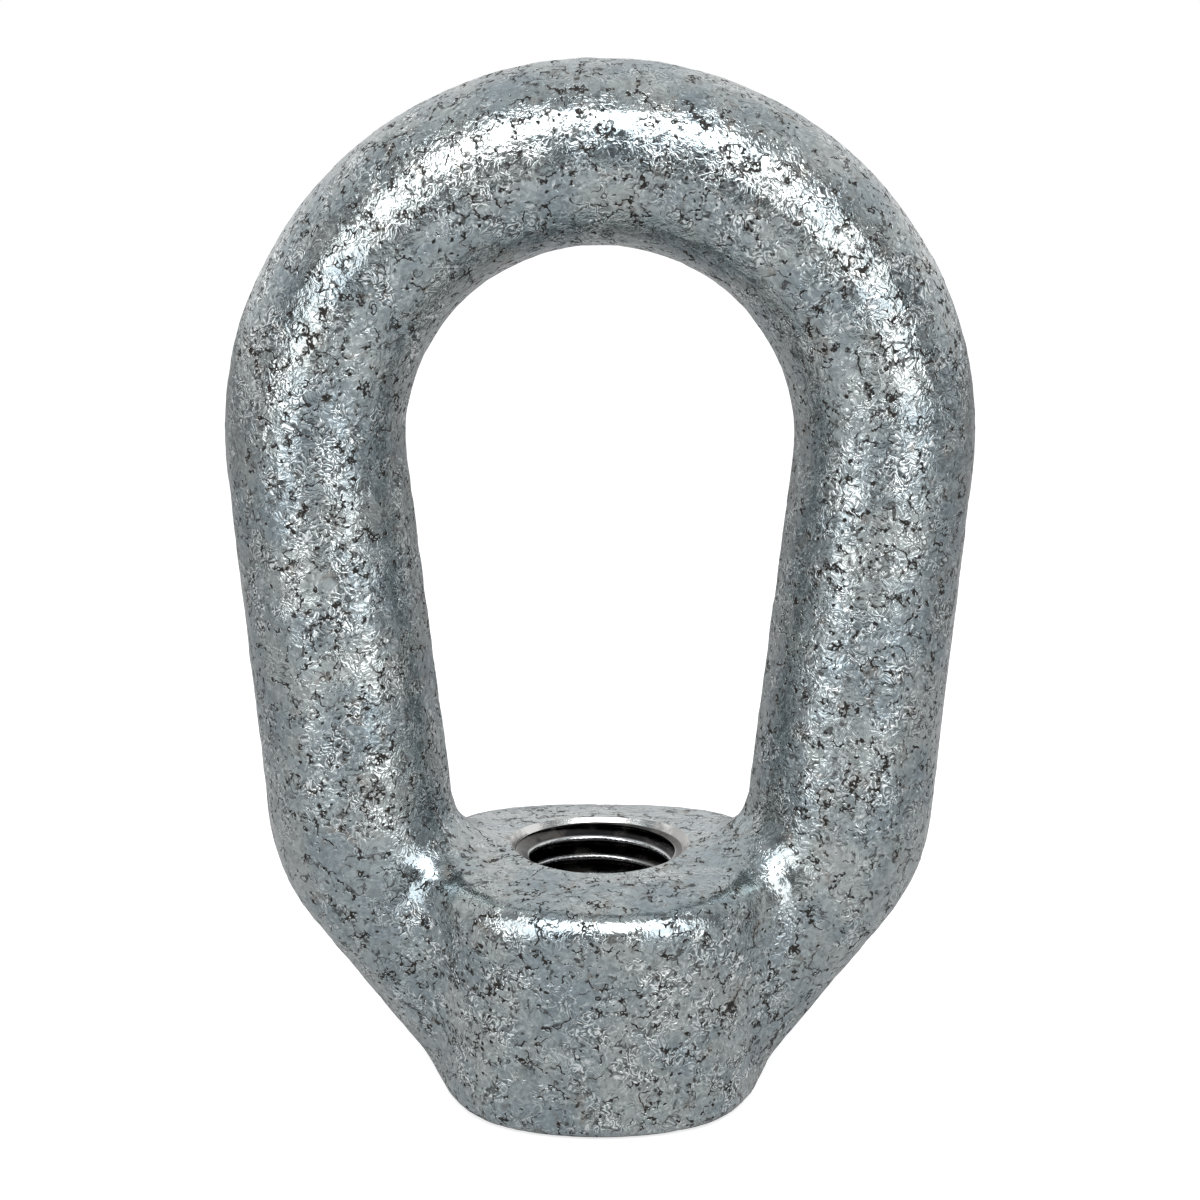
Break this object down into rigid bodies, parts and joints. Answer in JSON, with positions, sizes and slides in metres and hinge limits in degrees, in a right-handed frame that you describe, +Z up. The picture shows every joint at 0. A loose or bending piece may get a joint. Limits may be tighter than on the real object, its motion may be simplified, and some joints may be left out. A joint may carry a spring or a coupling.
{
  "type": "lifting eye nut",
  "caption": "Forged, galvanised eye nut: a pear-shaped lifting eye of round bar rising from a rounded hub with a tapped through hole.",
  "frame": {"origin": "middle of the hub's flat base, on the axis of the tapped hole", "axes": "+Z up the tapped hole towards the crown of the eye, X from leg to leg, Y through the eye"},
  "size_m": [0.0722, 0.0368, 0.1019],
  "materials": {
    "galvanised_steel": "hot-dip galvanised forging, uneven grey zinc with dark pits and faint brown stains"
  },
  "bodies": {
    "root": {"eye_nut": "galvanised_steel"}
  },
  "joints": []
}
